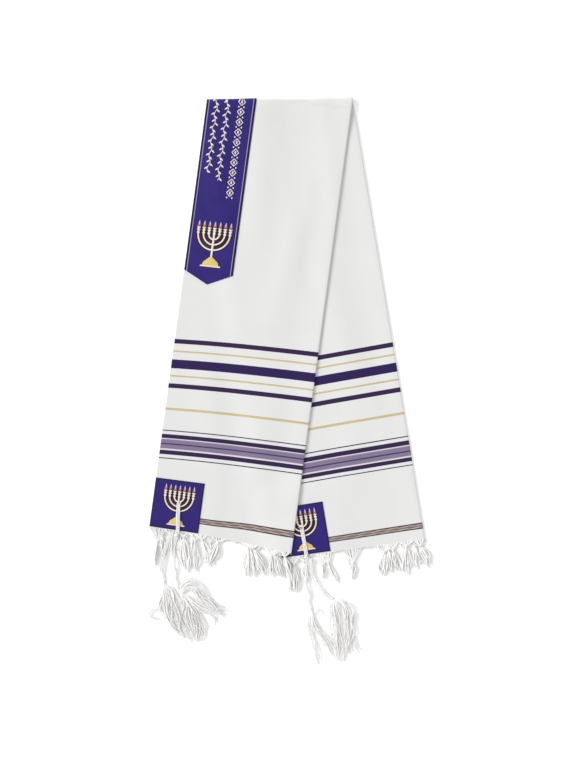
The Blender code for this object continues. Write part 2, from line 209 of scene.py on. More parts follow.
# Fringe tassels on each end's upper and lower layer: (side, knot past the hem, reach past the hem, lean in
# degrees, splay of the tips, strands). Side is measured from the strip's left side, and a lean to the right
# is positive.
FRINGE_TASSELS = {
    "front": {
        "top": (
            (18, 26, 72, -6, 4.5, 6), (44, 12, 50, 4, 6, 5), (67, 10, 73, 4, 13, 9), (89, 13, 68, 3, 6, 6),
            (100, 10, 60, 22, 7, 6), (138, 9, 56, -24, 10, 8), (194, 8, 61, -4, 7, 6),
            (197, 8, 64, 9, 6, 5), (200, 8, 64, 27, 7, 5), (240, 12, 52, -2, 6, 5), (244, 10, 55, 14, 7, 6),
            (263, 10, 50, 16, 6, 6),
        ),
        "low": (
            (26, 12, 56, 0, 7, 6), (60, 12, 60, 2, 8, 6), (84, 12, 56, 4, 8, 6), (122, 12, 50, -14, 8, 6),
            (205, 12, 54, 14, 8, 6), (250, 12, 48, 8, 7, 6),
        ),
    },
    "back": {
        "top": (
            (10, 14, 62, 8, 7, 6), (22, 14, 66, 5, 9, 7), (42, 12, 50, 2, 6, 6), (78, 24, 48, 1, 3.5, 4),
            (80, 22, 62, 27, 4.5, 5), (139, 26, 56, -2, 6.5, 7), (200, 15, 60, -5, 10, 9),
            (213, 13, 58, 16, 7, 7), (243, 8, 62, -2, 9, 8), (265, 12, 58, 23, 10, 8),
        ),
        "low": (
            (16, 12, 54, 4, 8, 6), (48, 12, 44, 4, 6, 5), (130, 14, 32, 10, 5, 5), (207, 12, 52, 6, 8, 6),
            (236, 12, 48, 4, 7, 6), (258, 12, 52, 6, 8, 6),
        ),
    },
}
TASSEL_STRAND = 0.00145
STRAND_TAPER = np.array([0.5, 0.8, 1, 1.05, 1.1, 1.1, 1.1, 1.05, 0.95, 0.6])
TASSEL_SWAY = (0.0012, 0.0036)
TASSEL_HEAP = 0.0050
UPPER_RISE = 0.0012
TASSEL_KNOT = 0.0052
KNOT_STACK = {"top": 0.0035, "low": 0.0015}
KNOT_STRAND = 0.0009
ROOTS = 9
ROOT_STRAND = 0.0011
ROOT_SPREAD = 0.015
ROOT_JITTER = 0.0026
ROOT_BOW = 0.0022
FRAY_STEP = 0.0022
FRAY_STRAND = 0.00035
FRAY_LENGTH = (0.0025, 0.0075)
FRAY_LEAN = 38
EDGE_GAP = 0.001

# Camera, floor and light
VIEW_HEIGHT = 1.4853
LENS = 85.0
SENSOR = 36.0
SKY = 0.64
KEY = 2.3
KEY_SPREAD = 25.0
KEY_TILT = 58.0
KEY_HEADING = 25.0
CAMERA_X = 0.0003
CAMERA_Y = -0.0757
FLOOR_GLOW = 0.22
FLOOR_HALF = 60.0
FLOOR_Z = -0.0004
WHITE = (1.0, 1.0, 1.0, 1.0)
BLACK = (0.0, 0.0, 0.0, 1.0)


def smooth(value):
    value = np.clip(value, 0.0, 1.0)
    return value * value * (3 - 2 * value)


def near(value, low, high):
    """1 from low to high and for MARGIN around them, 0 past FADE more."""
    outside = np.maximum(low - value, value - high)
    return 1 - smooth((outside - MARGIN) / FADE)


def slanted(u, q):
    """The strip's coordinates turned to the neck fold's: across it, and along from it."""
    return u * math.cos(LEAN) - q * math.sin(LEAN), u * math.sin(LEAN) + q * math.cos(LEAN)


def unslanted(x, y):
    return x * math.cos(LEAN) + y * math.sin(LEAN), y * math.cos(LEAN) - x * math.sin(LEAN)


def q_at(u, y):
    """Where the line at y along from the neck fold crosses the strip at u."""
    return (y - u * math.sin(LEAN)) / math.cos(LEAN)


def over_patch(side, hem):
    return near(side, 0, PATCH_WIDTH) * near(hem, 0, PATCH_INSET + PATCH_LENGTH)


def panel_height(u, q):
    """How thick the two layers stand, with the roll at the lengthwise fold and the broad swells."""
    side = u + STRIP_WIDTH / 2
    roll = ROLL * smooth((side - STRIP_WIDTH + ROLL_RUN) / ROLL_RUN)
    swell = np.zeros(np.broadcast(u, q).shape)
    for height, at_u, at_q, reach_u, reach_q, turn in SWELLS:
        cos, sin = math.cos(math.radians(turn)), math.sin(math.radians(turn))
        along_u = ((u - at_u) * cos - (q - at_q) * sin) / reach_u
        along_q = ((u - at_u) * sin + (q - at_q) * cos) / reach_q
        swell = swell + height * np.exp(-(along_u**2) - along_q**2)
    return PANEL_THICKNESS + roll + swell


def bed(x, down):
    """What the front panel lies on, `down` from the neck fold: the heights of the back panel's lift and top
    and of its patch, and how far it is on the back panel."""
    under_u, under_q = unslanted(x, -down)
    side = under_u + STRIP_WIDTH / 2
    hem = BACK_LENGTH + under_q
    on_patch = over_patch(side, hem)
    on_band = near(side, 0, BAND_WIDTH) * near(-under_q, 0, BAND_BACK_TIP)
    lift = TRIM_LIFT * (1 - (1 - on_patch) * (1 - on_band))
    on_back = (1 - smooth(-side / DROP_RUN)) * (1 - smooth(-hem / DROP_RUN))
    thickness = panel_height(np.maximum(under_u, -STRIP_WIDTH / 2), under_q)
    return lift, lift + thickness, TRIM_LIFT * on_patch, on_back


def place(u, q, rise, height):
    """The folded strip's points in space, before the strip is settled."""
    x, y = slanted(u, q)
    down = np.abs(y)
    lift, back_top, patch_lift, on_back = bed(x, down)
    back_z = lift + height - rise
    angle = np.clip(y, -NECK_ARC, NECK_ARC) / NECK_RADIUS
    neck_z = lift + height + NECK_RADIUS + (NECK_RADIUS + rise) * np.sin(angle)
    closed = smooth((y - NECK_ARC) / NECK_CLOSE)
    open_height = back_top + 2 * NECK_RADIUS
    resting = open_height * (1 - closed) + (back_top + LAYER_GAP + patch_lift) * closed
    own_lift = TRIM_LIFT * over_patch(u + STRIP_WIDTH / 2, FRONT_LENGTH - q)
    front_z = resting * on_back + own_lift * (1 - on_back) + rise
    z = np.where(y > NECK_ARC, front_z, np.where(y < -NECK_ARC, back_z, neck_z))
    neck_y = (NECK_RADIUS + rise) * np.cos(angle)
    out_y = np.where(down > NECK_ARC, NECK_ARC - down, neck_y)
    return np.stack([x, out_y, z], axis=-1)


def turned(points):
    cos, sin = math.cos(TURN), math.sin(TURN)
    return points @ np.array([[cos, -sin, 0], [sin, cos, 0], [0, 0, 1]]).T


def flat_u(across):
    return np.clip(np.minimum(across, CLOTH_WIDTH - across), 0, FLAT_WIDTH) - STRIP_WIDTH / 2


def folded(across, out, height):
    """u and rise on the strip, from the flat cloth's coordinates."""
    turn = np.clip((across - FLAT_WIDTH) / FOLD_ARC, 0, 1) * math.pi
    radius = height / 2 - WALL + out
    return flat_u(across) + radius * np.sin(turn), height / 2 + radius * np.cos(turn)


def q_on_cloth(u, along):
    """The strip's q from the flat cloth's along, with the weft's skew."""
    front = along < FRONT_LENGTH
    hem = np.where(front, along, CLOTH_LENGTH - along)
    skew = np.where(front, np.interp(hem, SKEW_AT, FRONT_SKEW), -np.interp(hem, SKEW_AT, BACK_SKEW))
    sag = front * SAG * smooth((u - SAG_FROM) / SAG_RUN) * (1 - smooth(hem / SAG_REACH))
    return FRONT_LENGTH - along + u * np.tan(skew) + sag


def along_on_cloth(u, q):
    """The flat cloth's along from the strip's q."""
    along = FRONT_LENGTH - q
    for _ in range(6):
        along = along + q_on_cloth(u, along) - q
    return along


def strip_point(across, distance, out, q_of):
    """A cloth point by a distance that q_of turns into q."""
    across, distance, out = np.broadcast_arrays(across, distance, out)
    height = panel_height(flat_u(across), q_of(flat_u(across), distance))
    u, rise = folded(across, out, height)
    return place(u, q_of(u, distance), rise, height)


def cloth_point(across, along, out):
    return strip_point(across, along, out, q_on_cloth)


def row_point(across, y, out):
    """A cloth point by its distance along from the neck fold."""
    return strip_point(across, y, out, q_at)


def hem_y(across, along):
    """Where the hem meets each column, measured along from the neck fold."""
    u = flat_u(across)
    return slanted(u, q_on_cloth(u, np.full_like(u, along)))[1]


def find_shift():
    """How far the CAD model's own origin moved its pieces, from one patch's box."""
    side = np.array([0.0, PATCH_WIDTH, PATCH_WIDTH, 0.0])
    hem = PATCH_INSET + np.array([0.0, 0.0, PATCH_LENGTH, PATCH_LENGTH])
    corners = turned(cloth_point(side, hem, TRIM_OUT))
    low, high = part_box("patch_front_upper")
    middle = (corners.min(axis=0) + corners.max(axis=0)) / 2
    return np.array([(low.x + high.x) / 2 - middle[0], (low.y + high.y) / 2 - middle[1], 0.0])


def settled(points):
    """The strip's points in the record's frame. What would stand below the surface is pressed flatter."""
    points = turned(points) + SHIFT
    points[..., 2] *= np.where(points[..., 2] < 0, PRESSED, 1.0)
    return points


def colour(red, green, blue):
    """A linear colour from the usual 0 to 255 values."""
    parts = np.array([red, green, blue]) / 255
    linear = np.where(parts <= 0.04045, parts / 12.92, ((parts + 0.055) / 1.055) ** 2.4)
    return (*linear.tolist(), 1.0)


class Graph:
    """Short calls for one material's nodes."""

    def __init__(self, name, roughness, sheen=0.0):
        self.material = bpy.data.materials.new(name)
        self.material.use_nodes = True
        self.tree = self.material.node_tree
        self.shader = self.tree.nodes["Principled BSDF"]
        self.plug(self.shader, {"Roughness": roughness, "Sheen Weight": sheen, "Specular IOR Level": 0.25})
        self.uv = self.tree.nodes.new("ShaderNodeTexCoord").outputs["UV"]
        self.across, self.along, _ = self.node("SeparateXYZ", {0: self.uv}).outputs

    def plug(self, node, values):
        """Sets or links a node's inputs, by their names or numbers."""
        for socket, value in values.items():
            if isinstance(value, bpy.types.NodeSocket):
                self.tree.links.new(value, node.inputs[socket])
            else:
                node.inputs[socket].default_value = value

    def node(self, kind, values):
        node = self.tree.nodes.new("ShaderNode" + kind)
        self.plug(node, values)
        return node

    def math(self, operation, *values):
        node = self.node("Math", dict(enumerate(values)))
        node.operation = operation
        return node.outputs[0]

    def mix(self, factor, first, second):
        node = self.node("Mix", {})
        node.data_type = "RGBA"
        self.plug(node, {0: factor, 6: first, 7: second})
        return node.outputs[2]

    def noise(self, across, along, detail=2.0):
        """Noise over the piece's own coordinates, with this many grains a metre each way."""
        stretched = self.node("Mapping", {"Vector": self.uv, "Scale": (across, along, 1.0)}).outputs[0]
        return self.node("TexNoise", {"Vector": stretched, "Scale": 1.0, "Detail": detail}).outputs[0]

    def stripe(self, value, centre, width, soft=0.0006):
        """1 on a stripe and 0 off it, with a soft edge."""
        distance = self.math("ABSOLUTE", self.math("SUBTRACT", value, centre))
        edges = {"From Min": (width + soft) / 2, "From Max": (width - soft) / 2}
        return self.node("MapRange", {"Value": distance, **edges}).outputs[0]

    def wave(self, value, pitch):
        return self.math("SINE", self.math("MULTIPLY", value, 2 * math.pi / pitch))

    def bump(self, height, distance):
        bump = self.node("Bump", {"Strength": 1.0, "Distance": distance, "Height": height})
        self.plug(self.shader, {"Normal": bump.outputs[0]})

    def finish(self, base, **others):
        self.plug(self.shader, {"Base Color": base, **others})
        return self.material


# Woven stripes by their distance from the hem: (centre, width, colour)
CLOTH_WHITE = colour(232, 232, 231)
PURPLE = (50, 31, 73)
BRIGHT_PURPLE = (44, 24, 84)
STRIPES = (
    (0.0273, 0.0108, (190, 174, 164)),
    (0.0226, 0.0021, (64, 48, 60)),
    (0.0273, 0.0014, (96, 80, 84)),
    (0.0320, 0.0021, (64, 48, 60)),
    (0.1435, 0.0020, PURPLE),
    (0.1720, 0.0185, (136, 122, 152)),
    (0.1553, 0.0085, PURPLE),
    (0.1620, 0.0012, (205, 194, 206)),
    (0.1720, 0.0026, (72, 56, 98)),
    (0.1812, 0.0012, (196, 184, 198)),
    (0.1868, 0.0080, PURPLE),
    (0.1980, 0.0020, PURPLE),
    (0.2860, 0.0090, PURPLE),
    (0.3290, 0.0175, BRIGHT_PURPLE),
    (0.3735, 0.0090, PURPLE),
)
GOLD_STRIPES = ((0.2405, 0.0046), (0.3055, 0.0032), (0.3540, 0.0032))
GOLD = (204, 178, 96)
TWILL_SLANT = 0.12
TWILL_PITCH = 0.0034
TWILL_LINE = (92, 78, 82)
BRONZE_CORE = (0.0273, 0.0074)
WEAVE = 0.0011
# The back panel's stripes sit a little off the front's: distances from the hem on the front and the back
FRONT_AT, BACK_AT = zip(
    (0, 0), (0.0273, 0.0253), (0.1435, 0.1433), (0.1553, 0.1543), (0.172, 0.1697), (0.1868, 0.1865),
    (0.198, 0.1985), (0.2405, 0.2435), (0.286, 0.289), (0.3055, 0.309), (0.329, 0.333), (0.354, 0.357),
    (0.3735, 0.3765), (0.9, 0.9),
)
LEFT_BOW = 0.0030
RIGHT_BOW = 0.0014
BACK_TILT = 0.0018
HEM_RISE = 0.0035
HEM_ZONE = 0.05

EDGE_DARK = colour(24, 13, 50)
EDGE_LINE = colour(176, 162, 205)
YARN_TWIST = 0.0031


def stripes_at(u, along):
    """The distance from the hem at which the woven stripes are read. The front's weft bows down at both
    sides, and its lowest stripe rises to the right."""
    front = along < FRONT_LENGTH
    hem = np.where(front, along, np.interp(CLOTH_LENGTH - along, BACK_AT, FRONT_AT))
    from_middle = 2 * u / STRIP_WIDTH
    clear_of_hem = smooth((hem - HEM_ZONE) / 0.1)
    bow = np.where(from_middle < 0, LEFT_BOW, RIGHT_BOW) * from_middle**2 * clear_of_hem
    rise = HEM_RISE * smooth((u + 0.03) / 0.09) * (1 - smooth((hem - HEM_ZONE) / 0.04))
    tilt = -BACK_TILT * np.minimum(from_middle, 0.0) * clear_of_hem
    return hem + np.where(front, bow - rise, tilt)


def cloth_material():
    """White plain weave with its woven stripes."""
    graph = Graph("shawl_cloth", 0.85, sheen=0.15)
    thread = graph.noise(900.0, 120.0)
    weft = graph.noise(60.0, 1400.0)
    uneven_weft = graph.math("SUBTRACT", weft, 0.5)
    wander = graph.math("MULTIPLY", graph.math("SUBTRACT", thread, 0.5), 0.0010)
    along = graph.math("ADD", graph.along, wander)
    shade = graph.math("MULTIPLY_ADD", graph.noise(14.0, 14.0, detail=4.0), 0.05, 0.975)
    shade = graph.math("MULTIPLY_ADD", uneven_weft, 0.06, shade)
    base = graph.mix(shade, BLACK, CLOTH_WHITE)
    streak = graph.math("MULTIPLY_ADD", weft, 0.5, 0.75)
    for centre, width, tint in STRIPES:
        dyed = graph.mix(streak, BLACK, colour(*tint))
        base = graph.mix(graph.stripe(along, centre, width), base, dyed)
    twill_line = graph.math("MULTIPLY_ADD", graph.across, TWILL_SLANT, graph.along)
    twill = graph.math("GREATER_THAN", graph.wave(twill_line, TWILL_PITCH), 0.35)
    on_bronze = graph.math("MULTIPLY", graph.stripe(along, *BRONZE_CORE), 0.75)
    base = graph.mix(graph.math("MULTIPLY", on_bronze, twill), base, colour(*TWILL_LINE))
    gold = 0.0
    for centre, width in GOLD_STRIPES:
        gold = graph.math("MAXIMUM", gold, graph.stripe(along, centre, width, soft=0.0012))
    glints = graph.math("GREATER_THAN", graph.noise(420.0, 2200.0, detail=1.0), 0.46)
    gold = graph.math("MULTIPLY", gold, graph.math("MULTIPLY_ADD", glints, 0.45, 0.45))
    base = graph.mix(gold, base, colour(*GOLD))
    weave = graph.math("MULTIPLY", graph.wave(graph.across, WEAVE), graph.wave(graph.along, WEAVE))
    threads = graph.math("ADD", weft, thread)
    graph.bump(graph.math("MULTIPLY_ADD", weave, 0.5, threads), 0.00012)
    roughness = graph.math("MULTIPLY_ADD", gold, -0.4, 0.85)
    return graph.finish(base, Roughness=roughness, Metallic=graph.math("MULTIPLY", gold, 0.5))


def satin_material(name, width, length, lined):
    """Deep purple satin. Its coordinates run over the piece, width by length, with dark turned-in edges."""
    graph = Graph(name, 0.42, sheen=0.1)
    weft = graph.noise(250.0, 1600.0)
    base = graph.mix(graph.noise(30.0, 30.0, detail=3.0), colour(30, 17, 104), colour(58, 42, 138))
    base = graph.mix(graph.math("MULTIPLY", weft, 0.35), base, colour(28, 17, 88))
    edge = graph.math("MINIMUM", graph.across, graph.math("SUBTRACT", width, graph.across))
    if lined:
        base = graph.mix(graph.stripe(edge, 0.0, 0.0080, soft=0.0012), base, EDGE_DARK)
        base = graph.mix(graph.stripe(edge, 0.0049, 0.0013), base, EDGE_LINE)
    else:
        from_end = graph.math("MINIMUM", graph.along, graph.math("SUBTRACT", length, graph.along))
        edge = graph.math("MINIMUM", edge, from_end)
        base = graph.mix(graph.stripe(edge, 0.0, 0.0044, soft=0.0012), base, EDGE_DARK)
    twill = graph.wave(graph.math("ADD", graph.across, graph.along), 0.0009)
    graph.bump(graph.math("MULTIPLY_ADD", twill, 0.5, weft), 0.00010)
    return graph.finish(base)


def stitch_material(name, tint, groove_shade, metallic=0.0):
    """Raised threads that run across a ridge. Their colour is painted highlight on each stitch's crest in the
    tint and painted shade in the grooves between stitches in the second colour, following the rib, with
    random tone from noise.
    """
    graph = Graph(name, 0.45 if metallic else 0.5)
    rib = graph.math("MULTIPLY_ADD", graph.wave(graph.along, 0.0008), 0.5, 0.5)
    rib_light_and_tone = graph.math("ADD", rib, graph.noise(300.0, 900.0))
    # painted highlight on the stitch crests and painted shade in the grooves between them, following the rib,
    # plus random tone
    base = graph.mix(graph.math("MULTIPLY", rib_light_and_tone, 0.5), colour(*groove_shade), colour(*tint))
    graph.bump(rib, 0.00015)
    return graph.finish(base, Metallic=metallic)


def yarn_material(name, painted_side_brightness, painted_top_highlight):
    """Soft white yarn, twisted: its coordinates run round each strand and along it. Its colour carries
    painted light: a painted highlight on the top of each strand and painted shade on its sides and underside.
    """
    graph = Graph(name, 0.9, sheen=0.3)
    turns = graph.math("MULTIPLY_ADD", graph.along, 1 / YARN_TWIST, graph.across)
    fuzz = graph.noise(6.0, 1500.0, detail=3.0)
    lit = graph.math("MULTIPLY_ADD", fuzz, 0.14, painted_side_brightness)
    # painted highlight on the top of each strand and painted shade on its sides and underside, from the
    # coordinate round it
    lit = graph.math("MULTIPLY_ADD", graph.wave(graph.across, 1.0), painted_top_highlight, lit)
    graph.bump(graph.math("MULTIPLY_ADD", graph.wave(turns, 1.0), 0.35, fuzz), 0.00016)
    return graph.finish(graph.mix(lit, BLACK, colour(252, 251, 249)))


def floor_material():
    graph = Graph("pale_floor", 0.8)
    return graph.finish((0.93, 0.93, 0.93, 1.0), **{"Emission Color": WHITE, "Emission Strength": FLOOR_GLOW})


def joined(parts):
    """One mesh's points, faces, loop coordinates and material numbers from several."""
    points, faces, coordinates, numbers = [], [], [], []
    count = 0
    for part_points, part_faces, part_coordinates, number in parts:
        points.append(part_points)
        faces.extend([[index + count for index in face] for face in part_faces])
        coordinates.append(part_coordinates)
        numbers.extend([number] * len(part_faces))
        count += len(part_points)
    return np.concatenate(points), faces, np.concatenate(coordinates), numbers


def put(name, data):
    """A new object in the scene."""
    thing = bpy.data.objects.new(name, data)
    bpy.context.scene.collection.objects.link(thing)
    return thing


def add_mesh(name, parts, materials, sharp=60):
    points, faces, coordinates, numbers = joined(parts)
    mesh = bpy.data.meshes.new(name)
    mesh.from_pydata(points.tolist(), [], faces)
    layer = mesh.uv_layers.new(name="Cloth")
    layer.data.foreach_set("uv", coordinates.astype(np.float32).ravel())
    for material in materials:
        mesh.materials.append(material)
    mesh.polygons.foreach_set("material_index", numbers)
    mesh.shade_smooth()
    mesh.set_sharp_from_angle(angle=math.radians(sharp))
    piece = put(name, mesh)
    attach(piece, "root")
    return piece


def run(path):
    """How far along a path each of its points is."""
    return np.cumsum(np.linalg.norm(np.diff(path, axis=0, prepend=path[:1]), axis=1))


def at_run(path, runs, wanted):
    """The points at the wanted distances along a path."""
    return np.stack([np.interp(wanted, runs, column) for column in path.T], axis=-1)


def unit(vectors):
    return vectors / np.maximum(np.linalg.norm(vectors, axis=-1, keepdims=True), 1e-9)


def leftward(path):
    """A level unit vector to the left at each point of a path."""
    tangent = unit(np.gradient(path[:, :2], axis=0))
    return np.stack([-tangent[:, 1], tangent[:, 0]], axis=-1)


def volume(points, faces):
    """Six times the volume that these faces add to a closed form. It is negative for one inside out."""
    first = points[faces[:, 0]]
    pairs = zip(faces.T[1:], faces.T[2:])
    return sum((first * np.cross(points[here], points[after])).sum() for here, after in pairs)


def shell_part(inner, outer, coordinates):
    """The closed wall between two grids of points."""
    rows, columns = inner.shape[:2]
    count = rows * columns
    index = np.arange(count).reshape(rows, columns)
    sheet = [index[:-1, :-1], index[1:, :-1], index[1:, 1:], index[:-1, 1:]]
    quads = np.stack(sheet, axis=-1).reshape(-1, 4)
    rim = np.concatenate([index[0, :-1], index[:-1, -1], index[-1, :0:-1], index[:0:-1, 0]])
    after = np.roll(rim, -1)
    side = np.stack([rim, after, after + count, rim + count], axis=-1)
    faces = np.concatenate([quads[:, ::-1], quads + count, side[:, ::-1]])
    points = np.concatenate([inner.reshape(-1, 3), outer.reshape(-1, 3)])
    if volume(points, faces) < 0:
        faces = faces[:, ::-1]
    flat = np.tile(coordinates.reshape(-1, 2), (2, 1))
    return points, faces.tolist(), flat[faces.ravel()], 0


def loft(rings, along, across, number=0):
    """Closed forms from rings of points, which are (form, ring, point, axis). Along is each ring's distance
    along its form, and across each point's way round it, with one more value that closes the ring."""
    count, steps, sides = rings.shape[:3]
    index = np.arange(count * steps * sides).reshape(count, steps, sides)
    after = np.roll(index, -1, axis=2)
    quads = np.stack([index[:, :-1], after[:, :-1], after[:, 1:], index[:, 1:]], axis=-1).reshape(-1, 4)
    caps = np.concatenate([index[:, 0, ::-1], index[:, -1]])
    shape = (count, steps - 1, sides)
    left, right = (np.broadcast_to(across[i : i + sides], shape) for i in (0, 1))
    low, high = (np.broadcast_to(along[:, i : i + steps - 1, None], shape) for i in (0, 1))
    corners = ((left, low), (right, low), (right, high), (left, high))
    coordinates = np.stack([np.stack(pair, axis=-1) for pair in corners], axis=-2).reshape(-1, 4, 2)
    points = rings.reshape(-1, 3)
    if volume(points, quads) + volume(points, caps) < 0:
        quads, caps, coordinates = quads[:, ::-1], caps[:, ::-1], coordinates[:, ::-1]
    coordinates = np.concatenate([coordinates.reshape(-1, 2), np.zeros((caps.size, 2))])
    return points, quads.tolist() + caps.tolist(), coordinates, number


def tube_parts(paths, radii, sides, ply_depth=0.0):
    """Strands along paths of the same number of points, closed at their ends. A ply depth over 0 lays two
    plies round each other."""
    paths = np.asarray(paths, float)
    radii = np.broadcast_to(radii, paths.shape[:2])
    tangent = unit(np.gradient(paths, axis=1))
    across = unit(np.cross(tangent, (0.0, 0.0, 1.0)))
    above = np.cross(across, tangent)
    angle = np.arange(sides) * 2 * math.pi / sides
    ring = across[:, :, None] * np.cos(angle)[:, None] + above[:, :, None] * np.sin(angle)[:, None]
    along = np.array([run(path) for path in paths])
    plies = 1 + ply_depth * (np.cos(2 * (angle - 2 * math.pi * along[:, :, None] / PLY_PITCH)) - 1)
    rings = paths[:, :, None] + ring * (radii[:, :, None] * plies)[..., None]
    return loft(rings, along, np.arange(sides + 1) / sides)


RIDGE = ((-0.5, 0.0), (-0.4, 0.7), (0.0, 1.0), (0.4, 0.7), (0.5, 0.0))
RIDGE_GIRTH = 0.002


def ridge_part(path, widths, height, on_cloth, number=0, foot=0.0):
    """A low raised line on the cloth, along a path in its own plane, closed all round. Foot is how far its
    base stands out from the satin."""
    path = np.asarray(path, float)
    widths = np.broadcast_to(widths, len(path))
    offsets, heights = np.array(RIDGE).T
    flat = path[:, None] + leftward(path)[:, None] * (widths[:, None] * offsets)[..., None]
    rise = np.broadcast_to(foot + height * heights, flat.shape[:2])
    rings = on_cloth(flat[..., 0], flat[..., 1], rise)
    return loft(rings[None], run(path)[None], np.linspace(0, RIDGE_GIRTH, len(RIDGE) + 1), number)


def smooth_route(points, step):
    """Points about a step apart, or a whole number of them, on a smooth curve through the route's own."""
    points = np.array(points, float)
    ends = [2 * points[0] - points[1], 2 * points[-1] - points[-2]]
    padded = np.concatenate([ends[:1], points, ends[1:]])
    t = np.linspace(0, 1, 20, endpoint=False)[:, None]
    curve = []
    for before, start, end, after in zip(padded, padded[1:], padded[2:], padded[3:]):
        leave = (end - before) / 2
        arrive = (after - start) / 2
        bend = 3 * (end - start) - 2 * leave - arrive
        settle_in = leave + arrive - 2 * (end - start)
        curve.append(start + leave * t + bend * t**2 + settle_in * t**3)
    curve = np.concatenate(curve + [points[-1:]])
    runs = run(curve)
    count = step if isinstance(step, int) else round(runs[-1] / step) + 1
    return at_run(curve, runs, np.linspace(0, runs[-1], count))


def add_camera():
    data = bpy.data.cameras.new("camera")
    data.lens = LENS
    data.sensor_fit = "VERTICAL"
    data.sensor_height = SENSOR
    camera = put("camera", data)
    camera.location = (CAMERA_X, CAMERA_Y, VIEW_HEIGHT * LENS / SENSOR)
    bpy.context.scene.camera = camera


def lock_paths(random, count, height, left, right, steps=16):
    """Loose strands that share the space between two edges, higher in the middle of their run."""
    left, right = (smooth_route(np.array(edge) * MM, steps) for edge in (left, right))
    s = np.linspace(0, 1, steps)
    paths = []
    for i in range(count):
        share = (i + 0.5) / count + random.uniform(-0.07, 0.07)
        drift = random.uniform(-0.22, 0.22) * (count > 3)
        share = np.clip(share + drift * np.sin(math.pi * s * random.uniform(0.8, 1.6)), 0.0, 1.0)[:, None]
        flat = left * (1 - share) + right * share
        waves = random.uniform(0.8, 2.6)
        start = random.uniform(0, 2 * math.pi)
        sway = random.uniform(*LOCK_SWAY) * np.sin(2 * math.pi * waves * s + start) * smooth(s * 4)
        top = random.uniform(0.25, 1.0) * height * MM
        z = STRAND_RADIUS + 0.0006 + top * np.sin(math.pi * np.clip(s * 1.05, 0, 1)) ** 0.7
        path = np.column_stack([flat + leftward(flat) * sway[:, None], z])
        paths.append(at_run(path, s, np.linspace(0, random.uniform(0.86, 1.0), steps)))
    return np.array(paths)


def companion(points, reach, gap):
    """A strand beside a cord."""
    points = points[: round(len(points) * reach)]
    return points + np.column_stack([leftward(points) * gap, np.zeros(len(points))])


def knot_paths(centre, heading, size, steps):
    """A few turns of strand wound about one point of a cord."""
    turn = np.linspace(0, 2 * math.pi * KNOT_TURNS, steps)
    along = np.linspace(-0.55, 0.55, steps)[:, None]
    across = np.array([-heading[1], heading[0], 0.0])
    ring = across * np.cos(turn)[:, None] + (0, 0, 1) * np.sin(turn)[:, None]
    return centre + size * (ring * KNOT_GIRTH * (1.15 - along**2) + heading * along)


def add_tzitzit(corner, yarn):
    """One corner cord, two plies laid round each other, with its loose strands and knots."""
    name = "tzitzit_" + corner
    route = [(x, y, height) for height, *spots in CORD_ROUTES[corner] for x, y in spots]
    points = smooth_route(np.array(route) * MM, PLY_STEP)
    part = tube_parts(points[None], CORD_RADIUS * 1.08, CORD_SIDES, PLY_DEPTH)
    cord = add_mesh(name + "_string", [part], [yarn])
    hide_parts(name + "_cord")
    random = np.random.default_rng(sum(map(ord, name)))
    parts = []
    for count, height, left, right in LOCKS[corner]:
        paths = lock_paths(random, count, height, left, right)
        parts.append(tube_parts(paths, STRAND_RADIUS * np.linspace(1.0, 0.75, paths.shape[1]), 6))
    strands = add_mesh(name + "_strands", parts, [yarn])
    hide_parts(name + "_tassel")
    runs = run(points)
    parts = []
    for reach, gap in COMPANIONS[corner]:
        beside = companion(points, reach, 2 * CORD_RADIUS * gap)
        parts.append(tube_parts(beside[None], CORD_RADIUS, CORD_SIDES, PLY_DEPTH))
    for at, size in KNOTS[corner]:
        centre, ahead = at_run(points, runs, (at * MM, at * MM + 0.004))
        heading = unit((ahead - centre) * (1, 1, 0))
        path = knot_paths(centre + (0, 0, KNOT_LIFT), heading, size * MM, 60)
        path[:, 2] = np.maximum(path[:, 2], 0.0010)
        parts.append(tube_parts(path[None], 0.0008, 6))
    knots = add_mesh(name + "_knots", parts, [yarn])


def strip_rows(front_end, back_end, cell):
    """Distances along from the neck fold, in rows from the front's end over the fold to the back's."""
    panels = []
    for start, end in ((NECK_ARC, front_end), (-NECK_ARC, back_end)):
        count = round(abs(end - start).max() / cell) + 1
        panels.append(np.linspace(np.full_like(end, start), end, count))
    turn = NECK_ARC * np.linspace(1, -1, NECK_CELLS + 1)[1:-1]
    neck = np.repeat(turn[:, None], front_end.size, axis=1)
    return np.concatenate([panels[0][::-1], neck, panels[1]])


def add_sheet(name, material, point_at, first, second, faces, coordinates):
    """A thin closed sheet whose faces are at two distances out from the cloth's inner face."""
    inner, outer = (settled(point_at(first, second, out)) for out in faces)
    coordinates = np.stack(np.broadcast_arrays(*coordinates), axis=-1)
    return add_mesh(name, [shell_part(inner, outer, coordinates)], [material])


def add_shawl(material):
    """The whole cloth as one closed thin shell, both panels and both folds."""
    flat = np.linspace(0, FLAT_WIDTH, round(FLAT_WIDTH / CELL) + 1)
    fold = FLAT_WIDTH + FOLD_ARC * np.linspace(0, 1, FOLD_CELLS + 1)[1:-1]
    across = np.concatenate([flat, fold, CLOTH_WIDTH - flat[::-1]])
    random = np.random.default_rng(5)
    front_hem = hem_y(across, 0.0) + random.uniform(*HEM_WAVER, len(across))
    back_hem = hem_y(across, CLOTH_LENGTH) - random.uniform(*HEM_WAVER, len(across))
    rows = strip_rows(front_hem, back_hem, CELL)
    u = flat_u(across)
    flat = (across, stripes_at(u, along_on_cloth(u, q_at(u, rows))))
    return add_sheet("shawl_cloth", material, row_point, across, rows, (0.0, WALL), flat)


